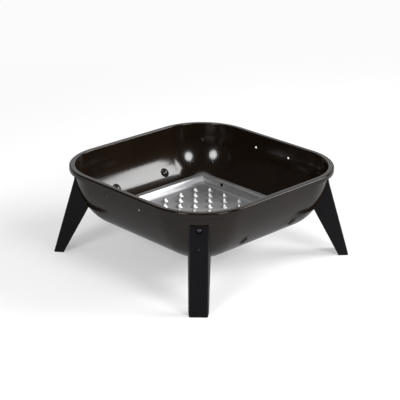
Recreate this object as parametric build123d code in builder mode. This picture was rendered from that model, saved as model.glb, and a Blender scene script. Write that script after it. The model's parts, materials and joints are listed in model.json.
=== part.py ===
"""Square fire pit on four splayed legs, with a pressed charcoal grate that lifts out.

Millimetres, +Z up.  The ground is Z = 0 and the Z axis runs through the middle of
the pit.  The bowl's sides face X and Y, and its legs stand on the two diagonals.
"""
import os
from math import acos, asin, atan2, cos, degrees, radians, sin, sqrt, tan

from build123d import *

# ---------------------------------------------------------------- driving dimensions
# Bowl, drawn from one sheet
rim_size = 382.0  # outside the turned lip, side to side
rim_corner_radius = 101.0  # outside the turned lip
rim_height = 164.3  # top of the rim above the ground
bowl_sheet = 1.2
lip_width = 9.6  # the wall's top turns out flat and then down into a skirt
lip_height = 8.5
lip_outer_fold = 3.0  # outside radius, from the flat top to the skirt
lip_inner_fold = 1.5  # outside radius, from the wall to the flat top
wall_draft = 6.0  # degrees, lean of the straight wall
straight_wall = 24.6  # its height below the top of the rim
upper_bend_radius = 108.2  # outside radius, from the straight wall down
lower_bend_radius = 84.0  # outside radius, from there to the flat floor
bend_change = 38.0  # degrees of slope where one radius gives way to the other

# Handle holes in the two X walls
handle_hole_spacing = 80.0
handle_hole_diameter = 4.4
handle_hole_height = 139.3

# Round dimples pressed into the two Y walls
dimple_spacing = 117.2
dimple_height = 87.0
dimple_diameter = 20.0
dimple_depth = 5.5

# Legs, folded from sheet into channels that are open towards the pit
leg_sheet = 1.5
leg_width = 30.0
leg_splay = 16.35  # degrees from upright
leg_top_height = 139.1
leg_knee_height = 85.9  # where the flanges leave the bowl
leg_foot_depth = 17.4
hanging_hole_diameter = 3.0
hanging_hole_drop = 35.6  # below the top of the leg
leg_bend_radius = 3.0  # outside of the fold
flange_flare = 5.5  # degrees that each flange opens from the radial direction

# Hook tabs on the leg flanges
tab_rise = 5.5  # above the knee
tab_width = 5.0
tab_reach = 3.2  # inside the bowl
tab_clearance = 0.4

# Leg screws and nuts, M4
screw_drop = 6.5  # below the top of the leg
screw_diameter = 4.0
screw_hole_clearance = 0.5
screw_head_diameter = 7.8
screw_head_height = 2.8
screw_tip = 1.4  # thread showing past the nut
nut_across_flats = 7.0
nut_height = 3.2
nut_bore_clearance = 0.1
seat_clearance = 0.7  # around the screw head in its cup

# Charcoal grate, pressed from one sheet
grate_size = 265.0
grate_corner_radius = 5.0
grate_sheet = 1.0
grate_clearance = 0.3  # between its corners and the bowl
grate_depth = 11.8  # edge of the lip above the flat panel
lip_bead_height = 1.1  # beads above the edge of the lip
lip_bead_width = 4.2
lip_groove_width = 4.2
grate_bend_radius = 1.3  # every fold of the border, on its upper face
grate_wall_run = 5.0
grate_wall_drop = 8.7
grate_ledge_run = 2.6
grate_ledge_drop = 2.2
grate_step_run = 1.2
bump_rows = 5  # from the middle to a corner
bump_pitch = 26.6
bump_base = 12.4
bump_top = 3.6  # across its blunt tip
bump_height = 7.3
lift_hole_diameter = 7.0
lift_hole_spacing = 136.0

# ---------------------------------------------------------------- worked-out places
corner_center = rim_size / 2 - rim_corner_radius
corner_axis = corner_center * sqrt(2)  # the same centre, measured along the diagonal
lip_bottom = rim_height - lip_height
tab_height = leg_knee_height + tab_rise
screw_height = leg_top_height - screw_drop

# The wall's section is drawn from a corner's centre line: X outwards, Y upwards.
draft = radians(wall_draft)
change = radians(bend_change)
wall_top = Vector(rim_corner_radius - lip_width + bowl_sheet, rim_height)
wall_foot = wall_top - Vector(straight_wall * tan(draft), straight_wall)
upper_center = wall_foot + Vector(-cos(draft), sin(draft)) * upper_bend_radius
change_point = upper_center + Vector(cos(change), -sin(change)) * upper_bend_radius
lower_center = change_point - Vector(cos(change), -sin(change)) * lower_bend_radius
floor_bottom = lower_center.Y - lower_bend_radius


def wall_slope(height):
    """Slope of the wall at a height, in radians from upright."""
    if height > wall_foot.Y:
        return draft
    if height > change_point.Y:
        return asin((upper_center.Y - height) / upper_bend_radius)
    return asin((lower_center.Y - height) / lower_bend_radius)


def wall_outside(height):
    """Outer face of the wall at a height, measured from a corner's centre line."""
    if height > wall_foot.Y:
        return wall_foot.X + (height - wall_foot.Y) * tan(draft)
    if height > change_point.Y:
        return upper_center.X + upper_bend_radius * cos(wall_slope(height))
    return lower_center.X + lower_bend_radius * cos(wall_slope(height))


def height_inside(reach):
    """Height at which the wall's inner face stands at a distance from that line."""
    slope = acos((reach - upper_center.X) / (upper_bend_radius - bowl_sheet))
    if slope < change:
        return upper_center.Y - (upper_bend_radius - bowl_sheet) * sin(slope)
    slope = acos((reach - lower_center.X) / (lower_bend_radius - bowl_sheet))
    return lower_center.Y - (lower_bend_radius - bowl_sheet) * sin(slope)


# ---------------------------------------------------------------- bowl
def bowl_section(plane, filled=False):
    """Half section of the bowl on a plane whose origin lies on a corner's centre line."""
    hollow_top = rim_height - bowl_sheet
    hollow_edge = rim_corner_radius - bowl_sheet
    fold_cut = lip_outer_fold - bowl_sheet  # flat cut along the inside of the outer fold
    with BuildSketch(plane) as section:
        with BuildLine():
            Line((0, floor_bottom), (lower_center.X, floor_bottom))
            CenterArc(lower_center, lower_bend_radius, -90, 90 - bend_change)
            CenterArc(upper_center, upper_bend_radius, -bend_change, bend_change - wall_draft)
            if filled:
                Polyline(wall_foot, wall_top, (0, rim_height), (0, floor_bottom))
            else:
                Polyline(
                    wall_foot,
                    (wall_outside(hollow_top), hollow_top),
                    (hollow_edge - fold_cut, hollow_top),
                    (hollow_edge, hollow_top - fold_cut),
                    (hollow_edge, lip_bottom),
                    (rim_corner_radius, lip_bottom),
                )
                inner_foot = wall_foot + Vector(-cos(draft), sin(draft)) * bowl_sheet
                inner_rise = rim_height - inner_foot.Y
                FilletPolyline(
                    (rim_corner_radius, lip_bottom),
                    (rim_corner_radius, rim_height),
                    inner_foot + Vector(inner_rise * tan(draft), inner_rise),
                    inner_foot,
                    radius=(lip_outer_fold, lip_inner_fold),
                )
                CenterArc(
                    upper_center,
                    upper_bend_radius - bowl_sheet,
                    -bend_change,
                    bend_change - wall_draft,
                )
                CenterArc(lower_center, lower_bend_radius - bowl_sheet, -90, 90 - bend_change)
                Polyline(
                    (lower_center.X, floor_bottom + bowl_sheet),
                    (0, floor_bottom + bowl_sheet),
                    (0, floor_bottom),
                )
        make_face()
    return section.sketch


def wall_plane(height, across, side):
    """Plane on the outside of a Y wall, facing into the bowl."""
    slope = wall_slope(height)
    reach = corner_center + wall_outside(height)
    return Plane(
        origin=(across, side * reach, height),
        x_dir=(1, 0, 0),
        z_dir=(0, -side * cos(slope), sin(slope)),
    )


# Seat of a leg screw on the bowl, in the frame whose X axis runs along the diagonal
seat_slope = wall_slope(screw_height)
screw_seat = Plane(
    origin=(corner_axis + wall_outside(screw_height), 0, screw_height),
    x_dir=(0, 1, 0),
    z_dir=(cos(seat_slope), 0, -sin(seat_slope)),
)
screw_hole_radius = (screw_diameter + screw_hole_clearance) / 2

# Face of a leg and its flanges, in the same frame
splay = radians(leg_splay)
leg_top_radius = corner_axis + wall_outside(leg_top_height) + leg_sheet / cos(splay)
leg_foot_radius = leg_top_radius + leg_top_height * tan(splay)
knee_radius = corner_axis + wall_outside(leg_knee_height)
tab_radius = corner_axis + wall_outside(tab_height)
tab_depth = (leg_foot_radius - tab_height * tan(splay) - tab_radius) * cos(splay)
tab_offset = leg_width / 2 + tab_depth * tan(radians(flange_flare)) - leg_sheet / 2

diagonals = {"back_right": 45, "back_left": 135, "front_left": 225, "front_right": 315}

side_section = Plane(origin=(corner_center, corner_center, 0), x_dir=(1, 0, 0), z_dir=(0, -1, 0))
back_section = Plane(origin=(corner_center, corner_center, 0), x_dir=(0, 1, 0), z_dir=(1, 0, 0))

with BuildPart() as fire_bowl:
    # One quarter: a rounded corner, half of each wall beside it, and the floor
    revolve(
        bowl_section(side_section),
        axis=Axis((corner_center, corner_center, 0), (0, 0, 1)),
        revolution_arc=90,
    )
    extrude(bowl_section(side_section), amount=corner_center)
    extrude(bowl_section(back_section), amount=-corner_center)
    with Locations((0, 0, floor_bottom)):
        Box(corner_center, corner_center, bowl_sheet, align=Align.MIN)
    mirror(about=Plane.YZ)
    mirror(about=Plane.XZ)

    # Round dimples, pressed inwards
    dome_radius = (dimple_diameter**2 / 4 + dimple_depth**2) / (2 * dimple_depth)
    dome_start = degrees(asin((dome_radius - dimple_depth) / dome_radius))
    dome_align = (Align.CENTER, Align.CENTER, Align.MIN)
    for side in (-1, 1):
        for across in (-dimple_spacing / 2, dimple_spacing / 2):
            wall = wall_plane(dimple_height, across, side)
            with Locations(wall):
                Sphere(dome_radius, arc_size1=dome_start, align=dome_align)
            with Locations(wall.offset(dimple_depth - dome_radius)):
                Sphere(dome_radius - bowl_sheet, mode=Mode.SUBTRACT)

    # Handle holes, straight through both X walls
    with Locations(Plane.YZ):
        with Locations((0, handle_hole_height)):
            with GridLocations(handle_hole_spacing, 0, 2, 1):
                Cylinder(
                    handle_hole_diameter / 2,
                    rim_size,
                    mode=Mode.SUBTRACT,
                )

    # Leg screw holes and hook slots on the diagonals
    for angle in diagonals.values():
        with Locations(Location((0, 0, 0), (0, 0, 1), angle)):
            with Locations(screw_seat):
                Cylinder(screw_hole_radius, 8 * bowl_sheet, mode=Mode.SUBTRACT)
            with Locations((tab_radius, -tab_offset, tab_height), (tab_radius, tab_offset, tab_height)):
                Box(
                    8 * bowl_sheet,
                    leg_sheet + 2 * tab_clearance,
                    tab_width + 2 * tab_clearance,
                    mode=Mode.SUBTRACT,
                )


# ---------------------------------------------------------------- legs
# A leg is made with the X axis along its diagonal and then turned into place.
leg_plane = Plane(
    origin=(leg_foot_radius, 0, 0),
    x_dir=(cos(splay), 0, sin(splay)),
    z_dir=(-sin(splay), 0, cos(splay)),
)
leg_length = leg_top_height / cos(splay)
flange_length = leg_foot_radius - corner_axis  # more than enough, then trimmed
cup_radius = screw_head_diameter / 2 + seat_clearance


def channel_bar(inset, length):
    """Solid bar in the shape of the channel's outside, or of its inside when inset."""
    half = leg_width / 2 - inset
    open_half = half + length * tan(radians(flange_flare))
    with BuildPart() as bar:
        with BuildSketch(leg_plane.offset(-leg_width)) as section:
            with BuildLine():
                Polyline(
                    (-inset, -half),
                    (-length, -open_half),
                    (-length, open_half),
                    (-inset, half),
                    close=True,
                )
            make_face()
            folds = section.vertices().group_by(Axis.X)[-1]
            fillet(folds, leg_bend_radius - inset)
        extrude(amount=leg_length + 2 * leg_width)
    return bar.part


channel = channel_bar(0, flange_length) - channel_bar(leg_sheet, 2 * flange_length)

with BuildPart() as corner_body:
    # The filled bowl around one corner's centre line, which the legs are trimmed to
    revolve(
        bowl_section(Plane(origin=(corner_axis, 0, 0), x_dir=(1, 0, 0), z_dir=(0, -1, 0)), True),
        axis=Axis((corner_axis, 0, 0), (0, 0, 1)),
    )

with BuildPart() as hook_tabs:
    add(channel)
    with Locations((tab_radius - bowl_sheet - tab_reach, 0, tab_height)):
        Box(
            bowl_sheet + tab_reach + leg_sheet,
            2 * leg_width,
            tab_width,
            align=(Align.MIN, Align.CENTER, Align.CENTER),
            mode=Mode.INTERSECT,
        )

with BuildPart() as leg:
    # Folded channel, with a cup behind the screw and a foot plate between the flanges
    add(channel)
    with Locations(screw_seat):
        Cylinder(
            cup_radius + leg_sheet,
            4 * cup_radius,
            align=(Align.CENTER, Align.CENTER, Align.MIN),
        )
    with BuildPart(mode=Mode.PRIVATE) as foot_plate:
        add(channel_bar(0, flange_length))
        Box(
            4 * leg_foot_radius,
            2 * leg_width,
            leg_sheet,
            align=(Align.CENTER, Align.CENTER, Align.MIN),
            mode=Mode.INTERSECT,
        )
    add(foot_plate.part)
    # Trimmed from the side: face, sloping top, knee and foot
    with BuildSketch(Plane.XZ) as side_view:
        top = Vector(leg_top_radius, leg_top_height)
        foot = Vector(leg_foot_radius - leg_foot_depth, 0)
        knee = Vector(knee_radius, leg_knee_height)
        with BuildLine():
            Polyline(
                (leg_foot_radius, 0),
                top,
                top - Vector(cos(splay), sin(splay)) * leg_width,
                knee + (knee - foot).normalized() * leg_width / 2,
                foot,
                close=True,
            )
        make_face()
    extrude(amount=leg_width, both=True, mode=Mode.INTERSECT)
    add(corner_body.part, mode=Mode.SUBTRACT)
    # Cup for the screw head, its hole, and the tabs that hook into the bowl
    with Locations(screw_seat.offset(leg_sheet)):
        Cylinder(
            cup_radius,
            4 * cup_radius,
            align=(Align.CENTER, Align.CENTER, Align.MIN),
            mode=Mode.SUBTRACT,
        )
    with Locations(screw_seat):
        Cylinder(screw_hole_radius, 4 * leg_sheet, mode=Mode.SUBTRACT)
    with Locations(leg_plane.offset((leg_top_height - hanging_hole_drop) / cos(splay))):
        with Locations(Rot(0, 90, 0)):
            Cylinder(hanging_hole_diameter / 2, 4 * leg_sheet, mode=Mode.SUBTRACT)
    add(hook_tabs.part)

# ---------------------------------------------------------------- screws and nuts
# The nut stands off the curved wall by the wall's sag across its corners.
nut_radius = nut_across_flats / sqrt(3)
nut_lift = nut_radius**2 / (2 * (wall_outside(screw_height) - bowl_sheet))
shank_length = leg_sheet + bowl_sheet + nut_lift + nut_height + screw_tip

with BuildPart() as screw:
    with Locations(screw_seat.offset(leg_sheet)):
        Cylinder(
            screw_head_diameter / 2,
            screw_head_height,
            align=(Align.CENTER, Align.CENTER, Align.MIN),
        )
    with Locations(screw_seat.offset(leg_sheet)):
        Cylinder(
            screw_diameter / 2,
            shank_length,
            align=(Align.CENTER, Align.CENTER, Align.MAX),
        )

with BuildPart() as nut:
    with BuildSketch(screw_seat.offset(-bowl_sheet - nut_lift)):
        RegularPolygon(nut_radius, 6)
        Circle((screw_diameter + nut_bore_clearance) / 2, mode=Mode.SUBTRACT)
    extrude(amount=-nut_height)

# ---------------------------------------------------------------- charcoal grate
# Its four corners rest in the rounded corners of the bowl, which sets its height.
grate_half = grate_size / 2
grate_reach = (grate_half - grate_corner_radius) * sqrt(2) + grate_corner_radius
# It rests on the bowl's corners, or on its floor where the bowl is much wider than the grate.
corner_rest = height_inside(grate_reach + grate_clearance - corner_axis)
floor_rest = floor_bottom + bowl_sheet + grate_clearance + grate_depth
grate_edge = max(corner_rest, floor_rest)
panel_bottom = grate_edge - grate_depth
panel_top = panel_bottom + grate_sheet


def pyramid(base, top, height):
    """Blunt pyramid on the XY plane."""
    with BuildPart() as solid:
        with BuildSketch():
            Rectangle(base, base)
        extrude(amount=height, taper=degrees(atan2((base - top) / 2, height)))
    return solid.part


bump = pyramid(bump_base, bump_top, bump_height)
bump_hollow = pyramid(bump_base - 2 * grate_sheet, bump_top, bump_height)

with BuildPart() as charcoal_grate:
    # One side of the tray, cut to a quarter and repeated around the middle
    with BuildPart(mode=Mode.PRIVATE) as quarter:
        with BuildSketch(Plane.XZ) as tray_section:
            with BuildLine() as upper_face:
                bead = lip_bead_width / 2
                groove = grate_half - lip_bead_width - lip_groove_width / 2
                second_bead = groove - lip_groove_width / 2 - bead / 2
                wall_start = second_bead - bead
                wall_end = wall_start - grate_wall_run
                ledge_end = wall_end - grate_ledge_run
                step_end = ledge_end - grate_step_run
                edge_top = grate_edge + grate_sheet
                FilletPolyline(
                    (grate_half, edge_top),
                    (grate_half - bead, edge_top + lip_bead_height),
                    (groove, edge_top),
                    (second_bead, edge_top + lip_bead_height),
                    (wall_start, edge_top),
                    (wall_end, edge_top - grate_wall_drop),
                    (ledge_end, edge_top - grate_wall_drop - grate_ledge_drop),
                    (step_end, panel_top),
                    (0, panel_top),
                    radius=grate_bend_radius,
                )
                offset(amount=grate_sheet, side=Side.LEFT)
            make_face()
        extrude(amount=grate_half, both=True)
        with BuildSketch(Plane.XY):
            with BuildLine():
                Polyline((0, 0), (grate_half, -grate_half), (grate_half, grate_half), close=True)
            make_face()
        extrude(amount=rim_height, mode=Mode.INTERSECT)
    with PolarLocations(0, 4):
        add(quarter.part)
    with BuildSketch():
        RectangleRounded(grate_size, grate_size, grate_corner_radius)
    extrude(amount=rim_height, mode=Mode.INTERSECT)
    # Bumps pressed up from the panel, on a grid turned 45 degrees
    rows = [row + 0.5 for row in range(-bump_rows, bump_rows)]
    turned_pitch = bump_pitch / sqrt(2)
    bump_places = [
        ((i + j) * turned_pitch, (j - i) * turned_pitch)
        for i in rows
        for j in rows
        if abs(i) + abs(j) <= bump_rows
    ]
    with Locations(*[(x, y, panel_top) for x, y in bump_places]):
        add(bump)
    with Locations(*[(x, y, panel_bottom) for x, y in bump_places]):
        add(bump_hollow, mode=Mode.SUBTRACT)
    # Round holes in the two X walls for lifting the tray out
    wall_lean = degrees(atan2(grate_wall_run, grate_wall_drop))
    for side in (-1, 1):
        for across in (-lift_hole_spacing / 2, lift_hole_spacing / 2):
            place = Plane(
                origin=(side * (wall_start - grate_wall_run / 2), across, edge_top - grate_wall_drop / 2),
                x_dir=(0, 1, 0),
                z_dir=(-side * cos(radians(wall_lean)), 0, sin(radians(wall_lean))),
            )
            with Locations(place):
                Cylinder(lift_hole_diameter / 2, 4 * grate_sheet, mode=Mode.SUBTRACT)

# ---------------------------------------------------------------- finished pieces
os.makedirs("parts", exist_ok=True)


def write(piece, name):
    """Label one finished piece and write it under that name."""
    piece.label = name
    export_step(piece, f"parts/{name}.step")


write(fire_bowl.part, "fire_bowl")
write(charcoal_grate.part, "charcoal_grate")
for corner, angle in diagonals.items():
    turn = Rot(0, 0, angle)
    write(turn * leg.part, f"leg_{corner}")
    write(turn * screw.part, f"screw_{corner}")
    write(turn * nut.part, f"nut_{corner}")
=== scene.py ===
"""Square fire pit with a lift-out charcoal grate: finishes, small hardware, light and camera.

Metres, +Z up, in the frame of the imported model.  The pit stands on the floor at Z = 0.
"""

import json
from math import cos, pi, radians, sin, sqrt, tan

import bpy
from mathutils import Matrix, Vector

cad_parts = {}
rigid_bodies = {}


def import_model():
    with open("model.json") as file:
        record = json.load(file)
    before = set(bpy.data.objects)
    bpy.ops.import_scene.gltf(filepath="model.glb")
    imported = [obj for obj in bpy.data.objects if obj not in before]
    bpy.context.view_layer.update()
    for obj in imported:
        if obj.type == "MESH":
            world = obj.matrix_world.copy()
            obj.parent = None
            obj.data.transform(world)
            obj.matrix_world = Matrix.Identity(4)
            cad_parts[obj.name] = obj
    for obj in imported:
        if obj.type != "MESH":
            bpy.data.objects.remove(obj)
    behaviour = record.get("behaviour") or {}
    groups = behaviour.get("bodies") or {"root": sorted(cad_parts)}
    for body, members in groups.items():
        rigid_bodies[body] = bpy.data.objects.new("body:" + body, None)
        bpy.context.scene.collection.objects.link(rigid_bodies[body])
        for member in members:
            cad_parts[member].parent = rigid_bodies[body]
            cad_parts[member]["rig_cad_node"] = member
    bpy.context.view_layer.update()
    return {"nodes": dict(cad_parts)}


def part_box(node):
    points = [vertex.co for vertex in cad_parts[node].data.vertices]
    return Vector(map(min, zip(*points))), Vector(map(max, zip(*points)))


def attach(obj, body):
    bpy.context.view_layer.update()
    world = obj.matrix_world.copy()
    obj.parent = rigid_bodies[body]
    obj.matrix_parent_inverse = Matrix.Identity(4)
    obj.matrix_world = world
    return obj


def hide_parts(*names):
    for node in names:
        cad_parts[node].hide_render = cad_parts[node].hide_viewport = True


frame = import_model()
nodes = frame["nodes"]
MM = 0.001


# ---------------------------------------------------------------- material helpers
def new_material(name):
    """Empty material with a Principled shader: (material, node tree, shader)."""
    material = bpy.data.materials.new(name)
    material.use_nodes = True
    tree = material.node_tree
    return material, tree, tree.nodes["Principled BSDF"]


def add_node(tree, kind, **values):
    """Node of a kind, with its input sockets set by name."""
    node = tree.nodes.new(kind)
    for name, value in values.items():
        node.inputs[name.replace("_", " ")].default_value = value
    return node


def new_group(name, inputs, outputs):
    """Node group with float inputs and named outputs: (group, tree's input, tree's output)."""
    group = bpy.data.node_groups.new(name, "ShaderNodeTree")
    for socket, value in inputs.items():
        item = group.interface.new_socket(socket, in_out="INPUT", socket_type="NodeSocketFloat")
        item.default_value = value
    for socket in outputs:
        group.interface.new_socket(socket, in_out="OUTPUT", socket_type="NodeSocketFloat")
    return group, group.nodes.new("NodeGroupInput"), group.nodes.new("NodeGroupOutput")


def place_group(tree, group, **values):
    """A node group placed in a material, with its inputs set by name."""
    node = tree.nodes.new("ShaderNodeGroup")
    node.node_tree = group
    for name, value in values.items():
        node.inputs[name.replace("_", " ")].default_value = value
    return node


def colour_ramp(tree, factor, stops):
    """Colour ramp fed by a socket, from (position, linear colour) stops."""
    ramp = tree.nodes.new("ShaderNodeValToRGB")
    elements = ramp.color_ramp.elements
    while len(elements) < len(stops):
        elements.new(0.5)
    for element, (position, colour) in zip(elements, stops):
        element.position = position
        element.color = (*colour, 1.0)
    tree.links.new(factor, ramp.inputs["Fac"])
    return ramp.outputs["Color"]


def value_range(tree, factor, low, high):
    """Maps a 0 to 1 socket onto a range."""
    node = add_node(tree, "ShaderNodeMapRange", To_Min=low, To_Max=high)
    tree.links.new(factor, node.inputs["Value"])
    return node.outputs["Result"]


# ---------------------------------------------------------------- shared finish effects
def make_paint_skin():
    """Orange peel and fine grit of a sprayed or dipped coating, as a height."""
    group, given, result = new_group(
        "paint_skin", {"Peel scale": 300.0, "Grit scale": 2500.0, "Grit share": 0.3}, ["Height"]
    )
    place = group.nodes.new("ShaderNodeTexCoord")
    peel = add_node(group, "ShaderNodeTexNoise", Detail=2.0, Roughness=0.45)
    grit = add_node(group, "ShaderNodeTexNoise", Detail=1.0, Roughness=0.6)
    mix = group.nodes.new("ShaderNodeMix")
    group.links.new(place.outputs["Object"], peel.inputs["Vector"])
    group.links.new(place.outputs["Object"], grit.inputs["Vector"])
    group.links.new(given.outputs["Peel scale"], peel.inputs["Scale"])
    group.links.new(given.outputs["Grit scale"], grit.inputs["Scale"])
    group.links.new(given.outputs["Grit share"], mix.inputs["Factor"])
    group.links.new(peel.outputs["Fac"], mix.inputs["A"])
    group.links.new(grit.outputs["Fac"], mix.inputs["B"])
    group.links.new(mix.outputs["Result"], result.inputs["Height"])
    return group


def make_handling_marks():
    """Broad cloudy tone and small wiped smudges of a handled surface, both 0 to 1."""
    group, given, result = new_group(
        "handling_marks", {"Cloud scale": 12.0, "Smudge scale": 60.0}, ["Cloud", "Smudge"]
    )
    place = group.nodes.new("ShaderNodeTexCoord")
    cloud = add_node(group, "ShaderNodeTexNoise", Detail=3.0, Roughness=0.55)
    smudge = add_node(group, "ShaderNodeTexNoise", Detail=4.0, Roughness=0.65, Distortion=1.2)
    group.links.new(place.outputs["Object"], cloud.inputs["Vector"])
    group.links.new(place.outputs["Object"], smudge.inputs["Vector"])
    group.links.new(given.outputs["Cloud scale"], cloud.inputs["Scale"])
    group.links.new(given.outputs["Smudge scale"], smudge.inputs["Scale"])
    for noise, socket in ((cloud, "Cloud"), (smudge, "Smudge")):
        spread = add_node(group, "ShaderNodeMapRange", From_Min=0.3, From_Max=0.7)
        group.links.new(noise.outputs["Fac"], spread.inputs["Value"])
        group.links.new(spread.outputs["Result"], result.inputs[socket])
    return group


paint_skin = make_paint_skin()
handling_marks = make_handling_marks()


def add_bump(tree, shader, height, strength, distance):
    """Connects a height to a shader's normal."""
    bump = add_node(tree, "ShaderNodeBump", Strength=strength, Distance=distance)
    tree.links.new(height, bump.inputs["Height"])
    tree.links.new(bump.outputs["Normal"], shader.inputs["Normal"])


# ---------------------------------------------------------------- materials
def make_finish(name, marks, skin, tones, roughness, bump):
    """Material whose tone, roughness and height vary over the surface: (material, tree, shader)."""
    material, tree, shader = new_material(name)
    worn = place_group(tree, handling_marks, **marks)
    grain = place_group(tree, paint_skin, **skin)
    tone = colour_ramp(tree, worn.outputs["Cloud"], list(enumerate(tones)))
    tree.links.new(tone, shader.inputs["Base Color"])
    tree.links.new(value_range(tree, worn.outputs["Smudge"], *roughness), shader.inputs["Roughness"])
    add_bump(tree, shader, grain.outputs["Height"], *bump)
    return material, tree, shader


def thin_coat_outside(tree, shader, outside_coat, blend):
    """Full coat where a wall faces the middle of the pit and a thinner one where it faces away."""
    place = tree.nodes.new("ShaderNodeTexCoord")
    level_place = tree.nodes.new("ShaderNodeVectorMath")
    level_place.operation = "MULTIPLY"
    level_place.inputs[1].default_value = (1.0, 1.0, 0.0)
    tree.links.new(place.outputs["Object"], level_place.inputs[0])
    outward = tree.nodes.new("ShaderNodeVectorMath")
    outward.operation = "DOT_PRODUCT"
    tree.links.new(place.outputs["Normal"], outward.inputs[0])
    tree.links.new(level_place.outputs["Vector"], outward.inputs[1])
    coat = add_node(
        tree, "ShaderNodeMapRange", From_Min=-blend, From_Max=blend, To_Min=1.0, To_Max=outside_coat
    )
    tree.links.new(outward.outputs["Value"], coat.inputs["Value"])
    tree.links.new(coat.outputs["Result"], shader.inputs["Coat Weight"])


def make_brown_enamel():
    """Dark brown bake coat of the bowl; its clear glossy skin is thinner on the outside."""
    material, tree, shader = make_finish(
        "brown_enamel",
        marks={"Cloud_scale": 9.0, "Smudge_scale": 45.0},
        skin={"Peel_scale": 420.0, "Grit_scale": 3000.0, "Grit_share": 0.25},
        tones=((0.0070, 0.0042, 0.0024), (0.0100, 0.0060, 0.0035)),
        roughness=(0.45, 0.55),
        bump=(0.06, 0.0002),
    )
    shader.inputs["Specular IOR Level"].default_value = 0.0
    thin_coat_outside(tree, shader, outside_coat=0.48, blend=0.02)
    shader.inputs["Coat Roughness"].default_value = 0.14
    shader.inputs["Coat IOR"].default_value = 1.48
    return material


def make_black_paint():
    """Satin black powder coat of the legs."""
    material, tree, shader = make_finish(
        "black_paint",
        marks={"Cloud_scale": 25.0, "Smudge_scale": 140.0},
        skin={"Peel_scale": 900.0, "Grit_scale": 4200.0, "Grit_share": 0.6},
        tones=((0.0026, 0.0024, 0.0032), (0.0040, 0.0036, 0.0048)),
        roughness=(0.44, 0.56),
        bump=(0.3, 0.0002),
    )
    shader.inputs["Specular IOR Level"].default_value = 0.12
    return material


def make_pressed_aluminium():
    """Dull bright aluminium sheet of the grate, faintly rippled by the press."""
    material, tree, shader = make_finish(
        "pressed_aluminium",
        marks={"Cloud_scale": 30.0, "Smudge_scale": 160.0},
        skin={"Peel_scale": 350.0, "Grit_scale": 2600.0, "Grit_share": 0.35},
        tones=((0.46, 0.46, 0.47), (0.57, 0.57, 0.58)),
        roughness=(0.40, 0.48),
        bump=(0.04, 0.0002),
    )
    shader.inputs["Metallic"].default_value = 1.0
    return material


def make_zinc_steel():
    """Dark zinc-plated steel of the screws and nuts."""
    material, tree, shader = make_finish(
        "zinc_steel",
        marks={"Cloud_scale": 150.0, "Smudge_scale": 600.0},
        skin={"Peel_scale": 1500.0, "Grit_scale": 6000.0, "Grit_share": 0.5},
        tones=((0.050, 0.047, 0.045), (0.085, 0.080, 0.076)),
        roughness=(0.28, 0.42),
        bump=(0.2, 0.0001),
    )
    shader.inputs["Metallic"].default_value = 1.0
    return material


brown_enamel = make_brown_enamel()
black_paint = make_black_paint()
pressed_aluminium = make_pressed_aluminium()
zinc_steel = make_zinc_steel()

finishes = {
    "fire_bowl": brown_enamel,
    "charcoal_grate": pressed_aluminium,
    "leg": black_paint,
    "screw": zinc_steel,
    "nut": zinc_steel,
}
for name, node in nodes.items():
    finish = next(material for start, material in finishes.items() if name.startswith(start))
    node.data.materials.clear()
    node.data.materials.append(finish)


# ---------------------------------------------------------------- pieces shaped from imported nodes
weld_distance = 0.001 * MM


def start_from(node_name, piece_name, body):
    """New piece that starts as a joined-up copy of a node and stands for it."""
    bpy.ops.object.select_all(action="DESELECT")
    node = nodes[node_name]
    node.select_set(True)
    bpy.context.view_layer.objects.active = node
    bpy.ops.object.duplicate()
    piece = bpy.context.object
    piece.name = piece_name
    del piece["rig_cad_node"]
    bpy.ops.object.mode_set(mode="EDIT")
    bpy.ops.mesh.select_all(action="SELECT")
    bpy.ops.mesh.customdata_custom_splitnormals_clear()
    bpy.ops.mesh.remove_doubles(threshold=weld_distance)
    bpy.ops.object.mode_set(mode="OBJECT")
    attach(piece, body)
    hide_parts(node_name)
    return piece


def pick_faces(piece, wanted):
    """Selects the faces whose centre and normal pass a test, and leaves edit mode on."""
    bpy.ops.object.mode_set(mode="EDIT")
    bpy.ops.mesh.select_mode(type="FACE")
    bpy.ops.mesh.select_all(action="DESELECT")
    bpy.ops.object.mode_set(mode="OBJECT")
    for face in piece.data.polygons:
        face.select = wanted(face.center, face.normal)
    bpy.ops.object.mode_set(mode="EDIT")


def smooth(piece, angle):
    """Smooth shading up to a crease angle in degrees."""
    bpy.ops.object.mode_set(mode="OBJECT")
    bpy.ops.object.select_all(action="DESELECT")
    piece.select_set(True)
    bpy.context.view_layer.objects.active = piece
    bpy.ops.object.shade_smooth_by_angle(angle=radians(angle))


# ---------------------------------------------------------------- pressed grate
sheet = 1.0 * MM
panel_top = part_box("charcoal_grate")[0].z + sheet
panel_reach = 105 * MM  # all bumps stand inside it
grate_crease = 48  # degrees
surface_near = 0.05 * MM  # a point this near a surface lies on it
flat_near = 0.2 * MM  # and a face this near the panel is part of it

bump_rows = 5  # from the middle to a corner
bump_pitch = 26.6 * MM / sqrt(2)
bump_half = 6.2 * MM
bump_height = 7.3 * MM
blunt_tip_half = 1.8 * MM
bump_cuts = 4
foot_start = 0.85  # share of the half width past which a bump is square
foot_power = 3
crown_power = 1.4  # over 1 broadens the crown

wall_start = 120.76 * MM  # upper end of the border's sloping wall, from the middle
wall_height = 11.47 * MM  # the same end above the panel
wall_length = 9.87 * MM
wall_slope = radians(59.7)
wall_near = 0.03 * MM
wall_tilt_near = 0.01  # in the height of a face's normal
wall_roll = 1.0 * MM
wall_cuts = 6


def from_bump_middle(point):
    """How far a point is from the middle of its bump, as X and Y."""
    i = (point.x - point.y) / (2 * bump_pitch)
    j = (point.x + point.y) / (2 * bump_pitch)
    i, j = (max(0.5 - bump_rows, min(bump_rows - 0.5, round(k - 0.5) + 0.5)) for k in (i, j))
    return point.x - (i + j) * bump_pitch, point.y - (j - i) * bump_pitch


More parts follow.
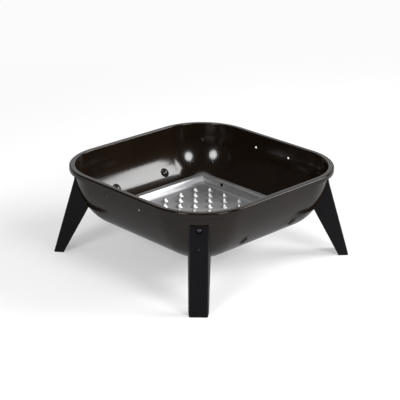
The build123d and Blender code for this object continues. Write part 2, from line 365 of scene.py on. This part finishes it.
def bump_share(across, along, half):
    """Share of a bump's height: a round crown that flares out into the panel on a square foot."""
    square = min(1.0, max(abs(across), abs(along)) / half)
    round_reach = min(1.0, sqrt(across**2 + along**2) / half)
    squareness = min(1.0, square / foot_start) ** foot_power
    reach = squareness * square + (1 - squareness) * round_reach
    return 0.5 + 0.5 * cos(pi * min(1.0, reach) ** crown_power)


def blunt_share(across, along, half):
    """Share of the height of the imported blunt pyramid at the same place."""
    slope = (half - max(abs(across), abs(along))) / (half - blunt_tip_half)
    return max(0.0, min(1.0, slope))


def draw_bumps(tray):
    """Turns the blunt bumps, on both faces of the sheet, into round-topped ones."""
    levels = (panel_top, panel_top - sheet)

    def on_bump(center, normal):
        flat = min(abs(center.z - level) for level in levels) < flat_near
        return not flat and abs(center.x) < panel_reach and abs(center.y) < panel_reach

    pick_faces(tray, on_bump)
    bpy.ops.mesh.tris_convert_to_quads(face_threshold=radians(2), shape_threshold=pi)
    bpy.ops.mesh.subdivide(number_cuts=bump_cuts)
    bpy.ops.object.mode_set(mode="OBJECT")
    for vertex in tray.data.vertices:
        place = vertex.co
        if abs(place.x) > panel_reach or abs(place.y) > panel_reach:
            continue
        across, along = from_bump_middle(place)
        for level, half in zip(levels, (bump_half, bump_half - sheet)):
            blunt = level + bump_height * blunt_share(across, along, half)
            inside = max(abs(across), abs(along)) < half + surface_near / 2
            if inside and abs(place.z - blunt) < surface_near:
                place.z = level + bump_height * bump_share(across, along, half)
                break


def on_wall(point):
    """Distance down the border's wall, and height over its upper face, of a point."""
    out = max(abs(point.x), abs(point.y)) - wall_start
    up = point.z - panel_top - wall_height
    return -out * cos(wall_slope) - up * sin(wall_slope), up * cos(wall_slope) - out * sin(wall_slope)


def is_wall(down, over):
    """Whether such a place lies between the wall's ends, on either face of the sheet."""
    return 0 < down < wall_length and min(abs(over), abs(over + sheet)) < wall_near


def roll_wall(tray):
    """Rounds the border's sloping wall slightly towards the middle of the tray."""
    def on_border_wall(center, normal):
        return is_wall(*on_wall(center)) and abs(abs(normal.z) - cos(wall_slope)) < wall_tilt_near

    for cut in range(1, wall_cuts + 1):
        cut_height = panel_top + wall_height - wall_length * sin(wall_slope) * cut / (wall_cuts + 1)
        pick_faces(tray, on_border_wall)
        bpy.ops.mesh.bisect(plane_co=(0, 0, cut_height), plane_no=(0, 0, 1))
        bpy.ops.object.mode_set(mode="OBJECT")
    for vertex in tray.data.vertices:
        place = vertex.co
        down, over = on_wall(place)
        if is_wall(down, over):
            rise = wall_roll * sin(pi * down / wall_length)
            side = 0 if abs(place.x) > abs(place.y) else 1
            inward = -1 if place[side] > 0 else 1
            place[side] += inward * rise * sin(wall_slope)
            place.z += rise * cos(wall_slope)


def make_grate():
    """The tray with smooth bumps, a rolled wall and crisp flats."""
    tray = start_from("charcoal_grate", "grate_tray", "grate")
    draw_bumps(tray)
    roll_wall(tray)
    smooth(tray, grate_crease)
    even = tray.modifiers.new("even_shading", "WEIGHTED_NORMAL")
    even.keep_sharp = True
    bpy.ops.object.modifier_apply(modifier=even.name)


# ---------------------------------------------------------------- screws and nuts
screw_face_reach = 220.55 * MM
screw_face_height = 131.87 * MM
screw_tilt = radians(9.79)
screw_edge_round = 1.3 * MM
recess_length = 4.2 * MM
recess_width = 0.9 * MM
recess_depth = 1.2 * MM
nut_edge_break = 0.25 * MM
fastener_crease = 30  # degrees
corner_turns = {"back_right": 45, "back_left": 135, "front_left": 225, "front_right": 315}


def screw_axis(turn):
    """Direction in which a corner's screw head faces."""
    angle = radians(turn)
    return Vector((cos(angle) * cos(screw_tilt), sin(angle) * cos(screw_tilt), -sin(screw_tilt)))


def make_screw(corner, turn):
    """Pan-head screw with a rounded crown and a cross recess."""
    screw = start_from(f"screw_{corner}", f"pan_screw_{corner}", "pit")
    axis = screw_axis(turn)
    angle = radians(turn)
    face_middle = Vector((cos(angle) * screw_face_reach, sin(angle) * screw_face_reach, screw_face_height))
    face_level = face_middle.dot(axis)
    pick_faces(screw, lambda center, normal: center.dot(axis) > face_level - surface_near)
    bpy.ops.mesh.dissolve_faces()
    bpy.ops.mesh.bevel(offset=screw_edge_round, segments=5, profile=0.55)
    bpy.ops.object.mode_set(mode="OBJECT")
    facing = axis.to_track_quat("Z", "Y").to_euler()
    for span in ((recess_length, recess_width), (recess_width, recess_length)):
        bpy.ops.object.select_all(action="DESELECT")
        bpy.ops.mesh.primitive_cube_add(size=1.0, location=face_middle, rotation=facing)
        blade = bpy.context.object
        blade.scale = (*span, 2 * recess_depth)
        cut = screw.modifiers.new("recess", "BOOLEAN")
        cut.operation = "DIFFERENCE"
        cut.object = blade
        bpy.ops.object.select_all(action="DESELECT")
        screw.select_set(True)
        bpy.context.view_layer.objects.active = screw
        bpy.ops.object.modifier_apply(modifier=cut.name)
        bpy.data.objects.remove(blade)
    smooth(screw, fastener_crease)


def make_nut(corner):
    """Hex nut with broken edges."""
    nut = start_from(f"nut_{corner}", f"hex_nut_{corner}", "pit")
    bpy.ops.object.mode_set(mode="EDIT")
    bpy.ops.mesh.select_all(action="SELECT")
    bpy.ops.mesh.dissolve_limited(angle_limit=radians(1))
    bpy.ops.mesh.select_all(action="SELECT")
    bpy.ops.mesh.bevel(offset=nut_edge_break, segments=2, profile=0.5, clamp_overlap=True)
    smooth(nut, fastener_crease)


make_grate()
for corner, turn in corner_turns.items():
    make_screw(corner, turn)
    make_nut(corner)


# ---------------------------------------------------------------- floor
def add_math(tree, operation, first, second):
    """Math node on two sockets or numbers; gives its output socket."""
    node = tree.nodes.new("ShaderNodeMath")
    node.operation = operation
    for socket, value in zip(node.inputs, (first, second)):
        if isinstance(value, (int, float)):
            socket.default_value = value
        else:
            tree.links.new(value, socket)
    return node.outputs["Value"]


def seen_rays(tree):
    """1 for rays from the camera, mirrors and glass, and 0 for all others."""
    path = tree.nodes.new("ShaderNodeLightPath")
    mirrored = add_math(tree, "MAXIMUM", path.outputs["Is Camera Ray"], path.outputs["Is Glossy Ray"])
    return add_math(tree, "MAXIMUM", mirrored, path.outputs["Is Transmission Ray"])


def make_floor(size, paper_tone, glow, far_glow, near, far):
    """White paper floor that takes shadows near the pit and is even white farther out."""
    bpy.ops.object.select_all(action="DESELECT")
    bpy.ops.mesh.primitive_plane_add(size=size, location=(0, 0, 0))
    floor = bpy.context.object
    floor.name = "studio_floor"
    material, tree, shader = new_material("studio_paper")
    place = tree.nodes.new("ShaderNodeTexCoord")
    reach = tree.nodes.new("ShaderNodeVectorMath")
    reach.operation = "LENGTH"
    tree.links.new(place.outputs["Object"], reach.inputs[0])
    away = add_node(tree, "ShaderNodeMapRange", From_Min=near, From_Max=far)
    away.interpolation_type = "SMOOTHSTEP"
    tree.links.new(reach.outputs["Value"], away.inputs["Value"])
    paper = colour_ramp(tree, away.outputs["Result"], [(0.0, paper_tone), (1.0, (0.0, 0.0, 0.0))])
    tree.links.new(paper, shader.inputs["Base Color"])
    shader.inputs["Roughness"].default_value = 0.9
    shader.inputs["Specular IOR Level"].default_value = 0.0
    shine = value_range(tree, away.outputs["Result"], glow, far_glow)
    tree.links.new(add_math(tree, "MULTIPLY", shine, seen_rays(tree)), shader.inputs["Emission Strength"])
    shader.inputs["Emission Color"].default_value = (1.0, 1.0, 1.0, 1.0)
    floor.data.materials.append(material)


make_floor(
    size=30.0,
    paper_tone=(0.62, 0.615, 0.625),
    glow=0.365,
    far_glow=0.965,
    near=0.35,
    far=1.5,
)


# ---------------------------------------------------------------- light
lamp_aim = Vector((0, 0, 0.1))


def make_world(room_level, mirror_level, backdrop_level, backdrop_way, backdrop_edge, backdrop_full):
    """White to the camera; a white backdrop and a dim room to mirrors; a soft fill to the rest."""
    world = bpy.data.worlds.new("studio")
    bpy.context.scene.world = world
    world.use_nodes = True
    tree = world.node_tree
    background = tree.nodes["Background"]
    background.inputs["Color"].default_value = (1.0, 1.0, 1.0, 1.0)
    path = tree.nodes.new("ShaderNodeLightPath")
    place = tree.nodes.new("ShaderNodeTexCoord")
    facing = tree.nodes.new("ShaderNodeVectorMath")
    facing.operation = "DOT_PRODUCT"
    facing.inputs[1].default_value = Vector(backdrop_way).normalized()
    tree.links.new(place.outputs["Generated"], facing.inputs[0])
    backdrop = add_node(tree, "ShaderNodeMapRange", From_Min=backdrop_edge, From_Max=backdrop_full)
    backdrop.interpolation_type = "SMOOTHSTEP"
    tree.links.new(facing.outputs["Value"], backdrop.inputs["Value"])
    mirrored = value_range(tree, backdrop.outputs["Result"], mirror_level, backdrop_level)
    seen = add_math(tree, "MAXIMUM", path.outputs["Is Camera Ray"], path.outputs["Is Transmission Ray"])
    shown = add_math(tree, "MULTIPLY", path.outputs["Is Glossy Ray"], mirrored)
    filled = add_math(tree, "MULTIPLY", path.outputs["Is Diffuse Ray"], room_level)
    level = add_math(tree, "ADD", add_math(tree, "ADD", seen, shown), filled)
    tree.links.new(level, background.inputs["Strength"])


def add_softbox(name, azimuth, elevation, spread, radiance, shape="ELLIPSE", distance=3.0):
    """Soft light: azimuth 0 stands over +Y and 90 over +X; spread is its size in degrees."""
    turn, rise = radians(azimuth), radians(elevation)
    away = Vector((sin(turn) * cos(rise), cos(turn) * cos(rise), sin(rise)))
    lamp = bpy.data.lights.new(name, "AREA")
    lamp.shape = shape
    lamp.size, lamp.size_y = (2 * distance * tan(radians(angle) / 2) for angle in spread)
    face = lamp.size * lamp.size_y * (1.0 if shape == "RECTANGLE" else pi / 4)
    lamp.energy = radiance * pi * face
    holder = bpy.data.objects.new(name, lamp)
    bpy.context.scene.collection.objects.link(holder)
    holder.location = lamp_aim + away * distance
    holder.rotation_euler = away.to_track_quat("Z", "Y").to_euler()


make_world(
    room_level=0.30,
    mirror_level=0.05,
    backdrop_level=1.0,
    backdrop_way=(0.69, 0.69, 0.2),
    backdrop_edge=0.55,
    backdrop_full=0.85,
)
add_softbox("left_softbox", azimuth=-104, elevation=30, spread=(18, 17), radiance=18)
add_softbox("right_softbox", azimuth=-179, elevation=32, spread=(19, 17), radiance=18)
add_softbox("side_softbox", azimuth=125, elevation=29, spread=(28, 25), radiance=13, shape="RECTANGLE")
add_softbox("top_softbox", azimuth=0, elevation=90, spread=(36, 36), radiance=1.5)


# ---------------------------------------------------------------- camera
def add_camera(azimuth, elevation, distance, aim, lens, roll):
    """Camera round the pit: azimuth 0 looks along +Y, and elevation is above the floor."""
    turn, rise = radians(azimuth), radians(elevation)
    away = Vector((sin(turn) * cos(rise), -cos(turn) * cos(rise), sin(rise)))
    data = bpy.data.cameras.new("camera")
    data.lens = lens
    data.sensor_width = 36.0
    camera = bpy.data.objects.new("camera", data)
    bpy.context.scene.collection.objects.link(camera)
    facing = away.to_track_quat("Z", "Y").to_matrix().to_4x4()
    camera.matrix_world = (
        Matrix.Translation(Vector(aim) + away * distance)
        @ facing
        @ Matrix.Rotation(radians(roll), 4, "Z")
    )
    bpy.context.scene.camera = camera


add_camera(
    azimuth=-44.14,
    elevation=21.92,
    distance=2.1125,
    aim=(-0.00327, 0.0, 0.09636),
    lens=109.07,
    roll=0.295,
)

bpy.context.scene.view_settings.view_transform = "Standard"
